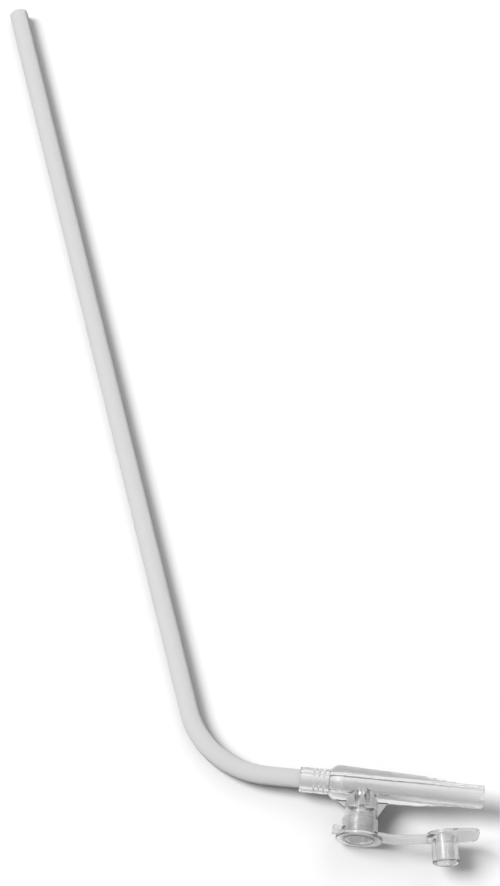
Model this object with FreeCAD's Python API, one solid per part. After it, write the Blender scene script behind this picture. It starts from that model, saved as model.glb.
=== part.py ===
import FreeCAD, Part
import math
import os

# A suction tip: a long bent tube, the clear connector that it is bonded into, with a thumb-controlled
# vent port and a nozzle for the suction hose, and the soft tethered cap that closes the vent.
# Lengths are in millimetres. Every piece is drawn in the connector's own frame: X runs along the
# barrel towards the nozzle, the vent port points along -Y, and the tube bends in the XY plane.
# At the end all of it is turned and set down as it comes to rest, on the tube and the connector.

Vec = FreeCAD.Vector
ALONG = Vec(1, 0, 0)
DOWN_PORT = Vec(0, -1, 0)
OUT_OF_PLANE = Vec(0, 0, 1)
CENTRE = Vec(0, 0, 0)

# Tube, 20 French, cut square and heat-bent once
tube_diameter = 6.67
tube_wall = 1.0
tube_straight = 288.0
tube_turn = 71.3
tube_bend_radius = 29.2
tube_lead = 11.3
tip_round = 0.35

# Connector: socket collar, shoulder, body, stepped cone and nozzle, as lengths along the barrel
collar_length = 9.9
collar_wall = 0.95
shoulder_length = 4.0
body_length = 28.3
cone_length = 9.7
cone_steps = 3
ring_count = 2
ring_width = 0.6
ring_depth = 0.2
nozzle_length = 9.9
port_from_shoulder = 7.4
body_radius_rear = 6.1
body_radius_front = 5.18
cone_radius_end = 4.2
nozzle_radius = 4.0
nozzle_round = 0.4
collar_round = 0.3
bond_gap = 0.03
socket_depth = 14.3
socket_lead_in = 0.4
groove_count = 3
groove_width = 0.5
groove_depth = 0.15
groove_pitch = 1.7
groove_from_mouth = 4.4

# Passages through the connector
chamber_radius = 2.4
chamber_past_port = 8.5
nozzle_bore_radius = 2.8
nozzle_bore_flare = 0.3
vent_hole_radius = 1.6

# Chimney of the vent port, with the thumb flange at its mouth and its two webs
port_length = 19.2
vent_radius = 4.45
chimney_wall = 0.95
vent_floor = 8.2
vent_rim_round = 0.25
flange_radius = 7.8
flange_thickness = 1.0
web_thickness = 1.6
front_web_run = 3.6
front_web_drop = 10.9
rear_web_run = 5.6
rear_web_drop = 8.5

# Vent cap: sleeve on the chimney, ear, tether strap, disc, plug and pull tab
sleeve_height = 6.0
sleeve_wall = 0.65
sleeve_gap = 0.03
sleeve_round = 0.2
strap_thickness = 1.2
strap_width = 7.2
strap_fall = 5.0
strap_from_mouth = 2.4
ear_length = 3.0
ear_corner = 1.0
strap_lead = 2.4
strap_turn = 11.9
strap_turn_radius = 27.0
strap_straight = 8.45
strap_below_disc = 1.15
disc_radius = 6.05
disc_round = 0.25
tab_length = 5.45
tab_corner = 3.5
plug_length = 8.9
plug_grip = 0.05
plug_wall = 1.35
plug_round = 0.5

# Sizes that follow
tube_radius = tube_diameter / 2
lumen_radius = tube_radius - tube_wall
collar_radius = tube_radius + bond_gap + collar_wall
body_start = -port_from_shoulder
shoulder_start = body_start - shoulder_length
collar_mouth = shoulder_start - collar_length
body_end = body_start + body_length
cone_end = body_end + cone_length
nozzle_end = cone_end + nozzle_length
socket_floor = collar_mouth + socket_depth
chimney_radius = vent_radius + chimney_wall
sleeve_bore_radius = chimney_radius + sleeve_gap
sleeve_radius = sleeve_bore_radius + sleeve_wall
sleeve_end = port_length - flange_thickness - sleeve_gap
plug_radius = vent_radius + plug_grip
strap_start = Vec(0, strap_from_mouth - port_length, 0)
disc_angle = strap_turn - strap_fall


def line(start, end):
    return Part.LineSegment(start, end).toShape()


def heading(degrees):
    """Unit vector in the XY plane, turned from X by this angle."""
    return Vec(math.cos(math.radians(degrees)), math.sin(math.radians(degrees)), 0)


def arc_to(start, end, end_direction):
    """Arc from start that arrives at end along end_direction."""
    normal = Vec(-end_direction.y, end_direction.x, 0).normalize()
    chord = start - end
    radius = chord.dot(chord) / (2 * normal.dot(chord))
    centre = end + normal * radius
    middle = centre + ((start - centre) + (end - centre)).normalize() * abs(radius)
    return Part.Arc(start, middle, end).toShape()


def face_of(edges):
    return Part.Face(Part.Wire(edges))


def outline(points):
    """Closed face through points, in order."""
    return face_of([line(a, b) for a, b in zip(points, points[1:] + points[:1])])


def turned(face):
    """Solid of revolution of a face about the barrel's axis."""
    return face.revolve(CENTRE, ALONG, 360)


def rod(radius, start, direction, length):
    return Part.makeCylinder(radius, length, start, direction)


def rounded_rod(radius, start, direction, length, rounding):
    """Rod whose far edge is rounded."""
    solid = rod(radius, start, direction, length)
    far = start + direction * length
    edges = [edge for edge in solid.Edges
             if edge.Closed and abs((edge.CenterOfMass - far).dot(direction)) < 1e-6]
    return solid.makeFillet(rounding, edges)


def edges_along(solid, direction):
    """The straight edges of a solid that run along a direction."""
    found = []
    for edge in solid.Edges:
        if len(edge.Vertexes) != 2:
            continue
        span = edge.Vertexes[1].Point - edge.Vertexes[0].Point
        if isinstance(edge.Curve, Part.Line) and abs(span.dot(direction)) > 0.999 * span.Length:
            found.append(edge)
    return found


# Route of the tube's axis: from the socket floor to the bend, round the bend, then straight to the tip
def tube_route():
    start = Vec(socket_floor, 0, 0)
    bend_start = Vec(collar_mouth - tube_lead, 0, 0)
    centre = bend_start + Vec(0, tube_bend_radius, 0)
    half = math.radians(tube_turn / 2)
    full = math.radians(tube_turn)
    bend_middle = centre + Vec(-math.sin(half), -math.cos(half), 0) * tube_bend_radius
    bend_end = centre + Vec(-math.sin(full), -math.cos(full), 0) * tube_bend_radius
    tip = bend_end + heading(180 - tube_turn) * tube_straight
    return start, bend_start, bend_middle, bend_end, tip


def swept_rod(radius):
    start, bend_start, bend_middle, bend_end, tip = tube_route()
    path = Part.Wire([line(start, bend_start), Part.Arc(bend_start, bend_middle, bend_end).toShape(),
                      line(bend_end, tip)])
    profile = Part.Wire([Part.makeCircle(radius, start, ALONG)])
    return path.makePipeShell([profile], True, True)


def suction_tube():
    tube = swept_rod(tube_radius).cut(swept_rod(lumen_radius))
    tip = tube_route()[-1]
    rims = [edge for edge in tube.Edges
            if edge.Closed and (edge.CenterOfMass - tip).Length < tube_radius / 2]
    return tube.makeFillet(tip_round, rims)


# Connector
def cone_corners():
    """Outline of the cone's steps. The first of them have a ring groove half way along."""
    step_length = cone_length / cone_steps
    step_drop = (body_radius_front - cone_radius_end) / cone_steps
    corners = []
    for index in range(cone_steps):
        radius = body_radius_front - step_drop * (index + 1)
        start = body_end + step_length * index
        stops = [(0, 0), (step_length, 0)]
        if index < ring_count:
            rear, front = (step_length - ring_width) / 2, (step_length + ring_width) / 2
            stops[1:1] = [(rear, 0), (rear, ring_depth), (front, ring_depth), (front, 0)]
        corners += [Vec(start + along, radius - deep, 0) for along, deep in stops]
    return corners


def barrel_outside():
    """Half section of the barrel above its axis, turned about the axis."""
    collar_corner = Vec(collar_mouth + collar_round, collar_radius, 0)
    shoulder_foot = Vec(shoulder_start, collar_radius, 0)
    body_rear = Vec(body_start, body_radius_rear, 0)
    body_front = Vec(body_end, body_radius_front, 0)
    edges = [line(Vec(collar_mouth, 0, 0), Vec(collar_mouth, collar_radius - collar_round, 0)),
             line(Vec(collar_mouth, collar_radius - collar_round, 0), collar_corner),
             line(collar_corner, shoulder_foot),
             arc_to(shoulder_foot, body_rear, body_front - body_rear),
             line(body_rear, body_front)]
    corners = [body_front] + cone_corners()
    edges += [line(a, b) for a, b in zip(corners, corners[1:])]
    nozzle_root = Vec(cone_end, nozzle_radius, 0)
    nozzle_corner = Vec(nozzle_end - nozzle_round, nozzle_radius, 0)
    nozzle_face = Vec(nozzle_end, nozzle_radius - nozzle_round, 0)
    edges += [line(corners[-1], nozzle_root), line(nozzle_root, nozzle_corner),
              arc_to(nozzle_corner, nozzle_face, DOWN_PORT),
              line(nozzle_face, Vec(nozzle_end, 0, 0)),
              line(Vec(nozzle_end, 0, 0), Vec(collar_mouth, 0, 0))]
    return turned(face_of(edges))


def webs():
    """Two flat webs in the bend plane, between the barrel and the chimney."""
    front = outline([CENTRE, Vec(chimney_radius + front_web_run, 0, 0),
                     Vec(chimney_radius + front_web_run, -body_radius_front, 0),
                     Vec(chimney_radius, -front_web_drop, 0), Vec(0, -front_web_drop, 0)])
    rear = outline([CENTRE, Vec(-chimney_radius - rear_web_run, 0, 0),
                    Vec(-chimney_radius - rear_web_run, -collar_radius, 0),
                    Vec(-chimney_radius, -rear_web_drop, 0), Vec(0, -rear_web_drop, 0)])
    half = OUT_OF_PLANE * (web_thickness / 2)
    return [web.translated(-half).extrude(half * 2) for web in (front, rear)]


def socket_bore():
    """Bore that the tube is bonded into, with its lead-in and its grooves for the bond."""
    bore_radius = tube_radius + bond_gap
    bore = rod(bore_radius, Vec(collar_mouth, 0, 0), ALONG, socket_depth)
    lead_in = Part.makeCone(bore_radius + socket_lead_in / 2, bore_radius, socket_lead_in,
                            Vec(collar_mouth, 0, 0), ALONG)
    grooves = [rod(bore_radius + groove_depth,
                   Vec(collar_mouth + groove_from_mouth + index * groove_pitch, 0, 0), ALONG, groove_width)
               for index in range(groove_count)]
    return bore.fuse([lead_in] + grooves)


def passages():
    """Chamber from the tube past the port, widening bore of the nozzle, vent hole, and chimney's bore."""
    chamber = rod(chamber_radius, Vec(socket_floor, 0, 0), ALONG, chamber_past_port - socket_floor)
    flare_start = nozzle_end - nozzle_bore_flare
    nozzle_bore = Part.makeCone(chamber_radius, nozzle_bore_radius, flare_start - chamber_past_port,
                                Vec(chamber_past_port, 0, 0), ALONG)
    flare = Part.makeCone(nozzle_bore_radius, nozzle_bore_radius + nozzle_bore_flare, nozzle_bore_flare,
                          Vec(flare_start, 0, 0), ALONG)
    vent_hole = rod(vent_hole_radius, CENTRE, DOWN_PORT, vent_floor)
    vent_bore = rod(vent_radius, DOWN_PORT * vent_floor, DOWN_PORT, port_length - vent_floor)
    return [socket_bore(), chamber, nozzle_bore, flare, vent_hole, vent_bore]


def control_connector():
    chimney = rod(chimney_radius, CENTRE, DOWN_PORT, port_length)
    flange = rod(flange_radius, DOWN_PORT * (port_length - flange_thickness), DOWN_PORT, flange_thickness)
    body = barrel_outside().fuse([chimney, flange] + webs()).removeSplitter()
    body = body.cut(passages())
    mouth = DOWN_PORT * port_length
    rims = [edge for edge in body.Edges if edge.Closed and (edge.CenterOfMass - mouth).Length < 1e-3]
    return body.makeFillet(vent_rim_round, rims)


# Vent cap
def strap_side(offset):
    """One side of the strap's edge view: straight from the sleeve, an arc, and straight to the disc."""
    stops = [(strap_start, -strap_fall)]
    for turn, run in ((0, sleeve_radius + strap_lead),
                      (strap_turn / 2, 2 * strap_turn_radius * math.sin(math.radians(strap_turn / 4))),
                      (strap_turn / 2, 2 * strap_turn_radius * math.sin(math.radians(strap_turn / 4))),
                      (0, strap_straight + disc_radius)):
        place, angle = stops[-1]
        stops.append((place + heading(angle + turn / 2) * run, angle + turn))
    start, bend_start, bend_middle, bend_end, end = [place + heading(angle + 90) * offset
                                                     for place, angle in stops]
    return [line(start, bend_start), Part.Arc(bend_start, bend_middle, bend_end).toShape(),
            line(bend_end, end)], start, end


def strap():
    """Tether strap: its edge view, drawn out to the strap's width. It runs in under the disc."""
    upper_edges, upper_start, upper_end = strap_side(strap_thickness / 2)
    lower_edges, lower_start, lower_end = strap_side(-strap_thickness / 2)
    edges = upper_edges + [line(upper_end, lower_end)] + lower_edges + [line(lower_start, upper_start)]
    side = Part.Face(Part.Wire(Part.__sortEdges__(edges)))
    reach = OUT_OF_PLANE * (strap_width / 2)
    middle = (upper_end + lower_end) / 2
    return side.translated(-reach).extrude(reach * 2), middle


def flat_tongue(start, degrees, length, width, corner):
    """Flat tongue of the strap's thickness from start, with rounded corners at its far end."""
    along = heading(degrees)
    up = heading(degrees + 90)
    base = start - up * (strap_thickness / 2) - OUT_OF_PLANE * (width / 2)
    corners = [base, base + along * length, base + along * length + OUT_OF_PLANE * width,
               base + OUT_OF_PLANE * width]
    slab = outline(corners).extrude(up * strap_thickness)
    far = [edge for edge in edges_along(slab, up) if (edge.CenterOfMass - base).dot(along) > length / 2]
    return slab.makeFillet(corner, far)


def vent_cap():
    sleeve = rounded_rod(sleeve_radius, DOWN_PORT * (sleeve_end - sleeve_height), DOWN_PORT,
                         sleeve_height, sleeve_round)
    ear = flat_tongue(strap_start, 180 - strap_fall, sleeve_radius + ear_length, strap_width, ear_corner)
    strap_solid, strap_end = strap()
    chimney_space = rod(sleeve_bore_radius, CENTRE, DOWN_PORT, port_length + sleeve_height)
    flange_space = rod(flange_radius + sleeve_gap, DOWN_PORT * sleeve_end, DOWN_PORT, sleeve_height)
    ring = sleeve.fuse([ear, strap_solid]).cut([chimney_space, flange_space])

    down = heading(disc_angle - 90)
    disc_centre = strap_end - down * strap_below_disc
    underside = disc_centre + down * (strap_thickness / 2)
    disc = rounded_rod(disc_radius, underside, -down, strap_thickness, disc_round)
    tab = flat_tongue(disc_centre, disc_angle, disc_radius + tab_length, 2 * disc_radius, tab_corner)
    plug = rounded_rod(plug_radius, disc_centre, down, strap_thickness / 2 + plug_length, plug_round)
    hollow = rod(plug_radius - plug_wall, underside, down, plug_length)
    return ring.fuse([disc, tab, plug]).cut(hollow).removeSplitter()


# Resting place
def roll_until_down(turn, pivot, centre, normal, radius):
    """Roll about the tube's run at which a circle on the part comes down to the floor."""
    across = turn.multVec(centre - pivot).x
    facing = turn.multVec(normal).x
    roll = 0.0
    for _ in range(20):
        drop = radius * math.sqrt(1 - (facing * math.sin(roll)) ** 2)
        roll = math.asin((drop - tube_radius) / across)
    return roll


def resting_placement():
    """Turns the tube's straight run to +Y and rolls the part about it until the connector is down."""
    bend_end = tube_route()[3]
    turn = FreeCAD.Rotation(OUT_OF_PLANE, tube_turn - 90)
    roll = max(roll_until_down(turn, bend_end, DOWN_PORT * (port_length - vent_rim_round), DOWN_PORT,
                               flange_radius),
               roll_until_down(turn, bend_end, Vec(body_start, 0, 0), ALONG, body_radius_rear))
    rotation = FreeCAD.Rotation(Vec(0, 1, 0), -math.degrees(roll)).multiply(turn)
    return FreeCAD.Placement(-rotation.multVec(bend_end), rotation)


pieces = {"suction_tube": suction_tube(), "control_connector": control_connector(), "vent_cap": vent_cap()}
resting = resting_placement()
for shape in pieces.values():
    shape.Placement = resting.multiply(shape.Placement)
box = Part.Compound(list(pieces.values())).optimalBoundingBox(False, False)
to_origin = Vec(-(box.XMin + box.XMax) / 2, -(box.YMin + box.YMax) / 2, -box.ZMin)
os.makedirs("parts", exist_ok=True)
for name, shape in pieces.items():
    shape.translate(to_origin)
    shape.exportStep("parts/" + name + ".step")
    print(name, "valid", shape.isValid(), "solids", len(shape.Solids), "volume", round(shape.Volume, 1))
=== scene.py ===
import math

import bpy
from mathutils import Euler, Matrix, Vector

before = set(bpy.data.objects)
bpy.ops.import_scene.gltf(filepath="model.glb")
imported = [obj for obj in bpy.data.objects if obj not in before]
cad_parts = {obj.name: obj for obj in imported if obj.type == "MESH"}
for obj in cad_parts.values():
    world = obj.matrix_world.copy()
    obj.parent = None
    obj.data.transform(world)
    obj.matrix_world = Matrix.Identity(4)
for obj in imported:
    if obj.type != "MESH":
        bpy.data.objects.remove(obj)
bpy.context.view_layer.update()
print("frame loaded")

millimetre = 0.001
white = (1.0, 1.0, 1.0, 1.0)
grainDetail = 2.0  # layers of noise in the plastics' fine unevenness


def hexToLinear(code):  # sRGB hex to linear red, green, blue
    values = [int(code[i:i + 2], 16) / 255 for i in (0, 2, 4)]
    return [v / 12.92 if v <= 0.04045 else ((v + 0.055) / 1.055) ** 2.4 for v in values]


def addNode(tree, kind, settings=None, inputs=None, links=None):  # one node with its settings and links
    node = tree.nodes.new(kind)
    for name, value in (settings or {}).items():
        setattr(node, name, value)
    for name, value in (inputs or {}).items():
        node.inputs[name].default_value = value
    for name, socket in (links or {}).items():
        tree.links.new(socket, node.inputs[name])
    return node


# The photograph's viewpoint, for a frame 500 wide and 886 high.
camera = {
    "place": (-0.228572, -0.425293, 0.893741),
    "turnDegrees": (26.84664, -8.02785, -13.69216),
    "lensMillimetres": 115.22,
    "sensorMillimetres": 36.0,
    "seesTo": 50.0,
}


def makeCamera():
    data = bpy.data.cameras.new("photoCamera")
    data.lens = camera["lensMillimetres"]
    data.sensor_width = camera["sensorMillimetres"]
    data.clip_end = camera["seesTo"]
    view = bpy.data.objects.new("photoCamera", data)
    view.location = camera["place"]
    view.rotation_euler = Euler([math.radians(a) for a in camera["turnDegrees"]])
    bpy.context.scene.collection.objects.link(view)
    bpy.context.scene.camera = view


makeCamera()
print("camera placed")

# In each plastic a milky share is mixed into a clear one. Grain lengths and depths are in millimetres.
# Flexible PVC, extruded: milky rather than clear, with a soft gloss and faint draw lines along its length.
softVinylExtruded = {
    "name": "softVinylExtruded", "colour": "fcfcfc", "haze": "d4d4d4", "hazeShare": 0.95,
    "roughness": 0.45, "hazeRoughness": 0.5, "evenness": 2.5, "ior": 1.53,
    "grainAcross": 0.9, "grainAlong": 40.0, "grainDepth": 0.02,
}
# Rigid styrene, injection moulded: clear as glass with a sharp gloss, and faint ripples where it flowed.
clearStyreneMoulded = {
    "name": "clearStyreneMoulded", "colour": "fafafa", "haze": "e6e6e6", "hazeShare": 0.06,
    "roughness": 0.06, "hazeRoughness": 0.3, "evenness": 0.0, "ior": 1.59,
    "grainAcross": 1.8, "grainAlong": 1.8, "grainDepth": 0.035,
}
# Flexible PVC, injection moulded: clear, a little milkier and softer in its gloss than the rigid piece.
softVinylMoulded = {
    "name": "softVinylMoulded", "colour": "fafafa", "haze": "e6e6e6", "hazeShare": 0.08,
    "roughness": 0.14, "hazeRoughness": 0.3, "evenness": 0.0, "ior": 1.53,
    "grainAcross": 2.4, "grainAlong": 2.4, "grainDepth": 0.02,
}

# Where the tube is bonded in, solvent has closed the gap, so light passes both faces unbent.
bond = {
    "barrelPlace": (0.00720091, -0.14655753, 0.00840326),
    "barrelTurnDegrees": (1.84427, -5.43141, -18.78749),
    "fromMouth": -21.3 * millimetre,
    "toFloor": -6.9 * millimetre,
    "tubeInside": 2.8 * millimetre,
    "socketOutside": 3.42 * millimetre,
    "wettedRoughness": 0.08,
}


def bondMask(tree, place, withinRadius):  # 1 in the socket's length, and 1 on the bonded faces there
    local = addNode(tree, "ShaderNodeMapping", {"vector_type": "TEXTURE"},
                    {"Location": bond["barrelPlace"],
                     "Rotation": [math.radians(a) for a in bond["barrelTurnDegrees"]]}, {"Vector": place})
    axes = addNode(tree, "ShaderNodeSeparateXYZ", links={0: local.outputs[0]})
    flat = addNode(tree, "ShaderNodeCombineXYZ", links={"Y": axes.outputs[1], "Z": axes.outputs[2]})
    radius = addNode(tree, "ShaderNodeVectorMath", {"operation": "LENGTH"}, links={0: flat.outputs[0]})
    past = addNode(tree, "ShaderNodeMath", {"operation": "GREATER_THAN"}, {1: bond["fromMouth"]},
                   {0: axes.outputs[0]})
    before = addNode(tree, "ShaderNodeMath", {"operation": "LESS_THAN"}, {1: bond["toFloor"]},
                     {0: axes.outputs[0]})
    comparison = "LESS_THAN" if withinRadius else "GREATER_THAN"
    limit = bond["socketOutside"] if withinRadius else bond["tubeInside"]
    near = addNode(tree, "ShaderNodeMath", {"operation": comparison}, {1: limit},
                   {0: radius.outputs["Value"]})
    span = addNode(tree, "ShaderNodeMath", {"operation": "MULTIPLY"},
                   links={0: past.outputs[0], 1: before.outputs[0]})
    return span, addNode(tree, "ShaderNodeMath", {"operation": "MULTIPLY"},
                         links={0: span.outputs[0], 1: near.outputs[0]})


def clearShader(tree, plastic, roughness, normal):  # the plastic's clear share
    links = {"Normal": normal.outputs["Normal"]} if normal else None
    return addNode(tree, "ShaderNodeBsdfPrincipled",
                   inputs={"Base Color": hexToLinear(plastic["colour"]) + [1.0], "Roughness": roughness,
                           "IOR": plastic["ior"], "Transmission Weight": 1.0}, links=links)


def makePlastic(plastic, bonded):
    material = bpy.data.materials.new(plastic["name"])
    material.use_nodes = True
    tree = material.node_tree
    tree.nodes.clear()
    place = addNode(tree, "ShaderNodeTexCoord")
    across, along = (1 / (plastic[key] * millimetre) for key in ("grainAcross", "grainAlong"))
    stretched = addNode(tree, "ShaderNodeMapping", inputs={"Scale": (across, along, across)},
                        links={"Vector": place.outputs["Object"]})
    grain = addNode(tree, "ShaderNodeTexNoise", inputs={"Scale": 1.0, "Detail": grainDetail},
                    links={"Vector": stretched.outputs[0]})
    bump = addNode(tree, "ShaderNodeBump",
                   inputs={"Strength": 1.0, "Distance": plastic["grainDepth"] * millimetre},
                   links={"Height": grain.outputs["Fac"]})
    clear = clearShader(tree, plastic, plastic["roughness"], bump)
    # Light that scatters round inside the milky wall evens its shading, as if it faced more upwards.
    lean = addNode(tree, "ShaderNodeVectorMath", {"operation": "ADD"},
                   {1: (0.0, 0.0, plastic["evenness"])}, {0: bump.outputs["Normal"]})
    evened = addNode(tree, "ShaderNodeVectorMath", {"operation": "NORMALIZE"}, links={0: lean.outputs[0]})
    milky = addNode(tree, "ShaderNodeBsdfPrincipled",
                    inputs={"Base Color": hexToLinear(plastic["haze"]) + [1.0],
                            "Roughness": plastic["hazeRoughness"], "IOR": plastic["ior"]},
                    links={"Normal": evened.outputs[0]})
    shown = addNode(tree, "ShaderNodeMixShader", inputs={0: plastic["hazeShare"]},
                    links={1: clear.outputs[0], 2: milky.outputs[0]})
    if bonded:
        inSocket, mask = bondMask(tree, place.outputs["Object"], bonded == "socket")
        if bonded == "tube":  # the bond wets the tube's wall in the socket, which clears its milkiness
            wetted = clearShader(tree, plastic, bond["wettedRoughness"], None)
            shown = addNode(tree, "ShaderNodeMixShader",
                            links={0: inSocket.outputs[0], 1: shown.outputs[0], 2: wetted.outputs[0]})
        unbent = addNode(tree, "ShaderNodeBsdfTransparent")
        shown = addNode(tree, "ShaderNodeMixShader",
                        links={0: mask.outputs[0], 1: shown.outputs[0], 2: unbent.outputs[0]})
    addNode(tree, "ShaderNodeOutputMaterial", links={"Surface": shown.outputs[0]})
    return material


nodePlastics = {
    "suction_tube": (softVinylExtruded, "tube"),
    "control_connector": (clearStyreneMoulded, "socket"),
    "vent_cap": (softVinylMoulded, None),
}
for nodeName, (plastic, bonded) in nodePlastics.items():
    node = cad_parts[nodeName]
    node.data.materials.clear()
    node.data.materials.append(makePlastic(plastic, bonded))
print("plastics made")

# White paper under one soft key lamp from the tip's left, a fill from behind, and a room that is white
# overhead and dark at the sides, so the clear edges have something dark to show.
studio = {
    "floorSize": 12.0,
    "floorColour": "fafafa",
    "floorLift": 0.04,
    # Share and strength of the painted glow that the paper shows through the clear plastic, in place of
    # light passing through it.
    "paintedGlowShare": 0.45,
    "paintedGlowStrength": 0.9,
    "worldStrength": 0.26,
    "worldSeen": 1.0,
    "wallSeen": 0.02,
    "wallHeight": 1.0,
    "target": (0.0, -0.03, 0.0),
    "lampDistance": 5.0,
    "keyDirection": (-0.83, 0.24, 1.0),
    "keySize": 2.8,
    "keyPower": 248,
    "fillDirection": (0.8, 0.9, 0.9),
    "fillSize": 4.4,
    "fillPower": 52,
    "windowDirection": (-0.5, 0.24, 1.0),
    "windowSize": 2.4,
    "windowPower": 44,
}


def rayKinds(tree):  # 1 for rays through clear plastic, and 1 for those and for camera and gloss rays
    rays = addNode(tree, "ShaderNodeLightPath")
    seen = addNode(tree, "ShaderNodeMath", {"operation": "MAXIMUM"},
                   links={0: rays.outputs["Is Camera Ray"], 1: rays.outputs["Is Glossy Ray"]})
    through = rays.outputs["Is Transmission Ray"]
    return through, addNode(tree, "ShaderNodeMath", {"operation": "MAXIMUM"},
                            links={0: seen.outputs[0], 1: through}).outputs[0]


def makeFloor():
    half = studio["floorSize"] / 2
    mesh = bpy.data.meshes.new("floor")
    corners = [(-half, -half, 0), (half, -half, 0), (half, half, 0), (-half, half, 0)]
    mesh.from_pydata(corners, [], [(0, 1, 2, 3)])
    floor = bpy.data.objects.new("floor", mesh)
    bpy.context.scene.collection.objects.link(floor)
    material = bpy.data.materials.new("whitePaper")
    material.use_nodes = True
    tree = material.node_tree
    tree.nodes.clear()
    through, seen = rayKinds(tree)
    paper = addNode(tree, "ShaderNodeBsdfDiffuse",
                    inputs={"Color": hexToLinear(studio["floorColour"]) + [1.0]})
    lift = addNode(tree, "ShaderNodeEmission", inputs={"Strength": studio["floorLift"]})
    lifted = addNode(tree, "ShaderNodeAddShader", links={0: paper.outputs[0], 1: lift.outputs[0]})
    # Seen through the clear plastic, the paper is partly swapped for an even painted glow: painted light
    # that stands in for the light coming down through the plastic, which the caustics being off leave out.
    paintedGlow = addNode(tree, "ShaderNodeEmission", inputs={"Strength": studio["paintedGlowStrength"]})
    under = addNode(tree, "ShaderNodeMath", {"operation": "MULTIPLY"}, {1: studio["paintedGlowShare"]},
                    {0: through})
    paintedGlowPaper = addNode(tree, "ShaderNodeMixShader",
                      links={0: under.outputs[0], 1: lifted.outputs[0], 2: paintedGlow.outputs[0]})
    both = addNode(tree, "ShaderNodeMixShader", links={0: seen, 1: paper.outputs[0], 2: paintedGlowPaper.outputs[0]})
    addNode(tree, "ShaderNodeOutputMaterial", links={"Surface": both.outputs[0]})
    mesh.materials.append(material)


def makeWorld():
    world = bpy.data.worlds.new("studioWorld")
    world.use_nodes = True
    tree = world.node_tree
    tree.nodes.clear()
    dim = addNode(tree, "ShaderNodeBackground",
                  inputs={"Color": white, "Strength": studio["worldStrength"]})
    facing = addNode(tree, "ShaderNodeTexCoord")  # the direction looked in, in the world
    axes = addNode(tree, "ShaderNodeSeparateXYZ", links={0: facing.outputs["Generated"]})
    rise = addNode(tree, "ShaderNodeMapRange", {"interpolation_type": "SMOOTHSTEP"},
                   {"From Min": 0.0, "From Max": studio["wallHeight"], "To Min": studio["wallSeen"],
                    "To Max": studio["worldSeen"]}, {"Value": axes.outputs["Z"]})
    room = addNode(tree, "ShaderNodeBackground", inputs={"Color": white},
                   links={"Strength": rise.outputs["Result"]})
    both = addNode(tree, "ShaderNodeMixShader",
                   links={0: rayKinds(tree)[1], 1: dim.outputs[0], 2: room.outputs[0]})
    addNode(tree, "ShaderNodeOutputWorld", links={"Surface": both.outputs[0]})
    bpy.context.scene.world = world


def makeLamp(kind, onlyGloss):  # the window only shows in the gloss, and the other lamps only light
    data = bpy.data.lights.new(kind + "Lamp", "AREA")
    data.shape = "DISK"
    data.size = studio[kind + "Size"]
    data.energy = studio[kind + "Power"]
    lamp = bpy.data.objects.new(kind + "Lamp", data)
    lamp.visible_glossy = onlyGloss
    lamp.visible_diffuse = not onlyGloss
    lamp.visible_transmission = not onlyGloss
    direction = Vector(studio[kind + "Direction"]).normalized()
    lamp.location = Vector(studio["target"]) + direction * studio["lampDistance"]
    lamp.rotation_euler = direction.to_track_quat("Z", "Y").to_euler()
    bpy.context.scene.collection.objects.link(lamp)


makeFloor()
makeWorld()
for lampKind in ("key", "fill", "window"):
    makeLamp(lampKind, lampKind == "window")
bpy.context.scene.view_settings.view_transform = "Standard"
bpy.context.scene.cycles.caustics_refractive = False
bpy.context.scene.cycles.caustics_reflective = False
print("floor and light made")
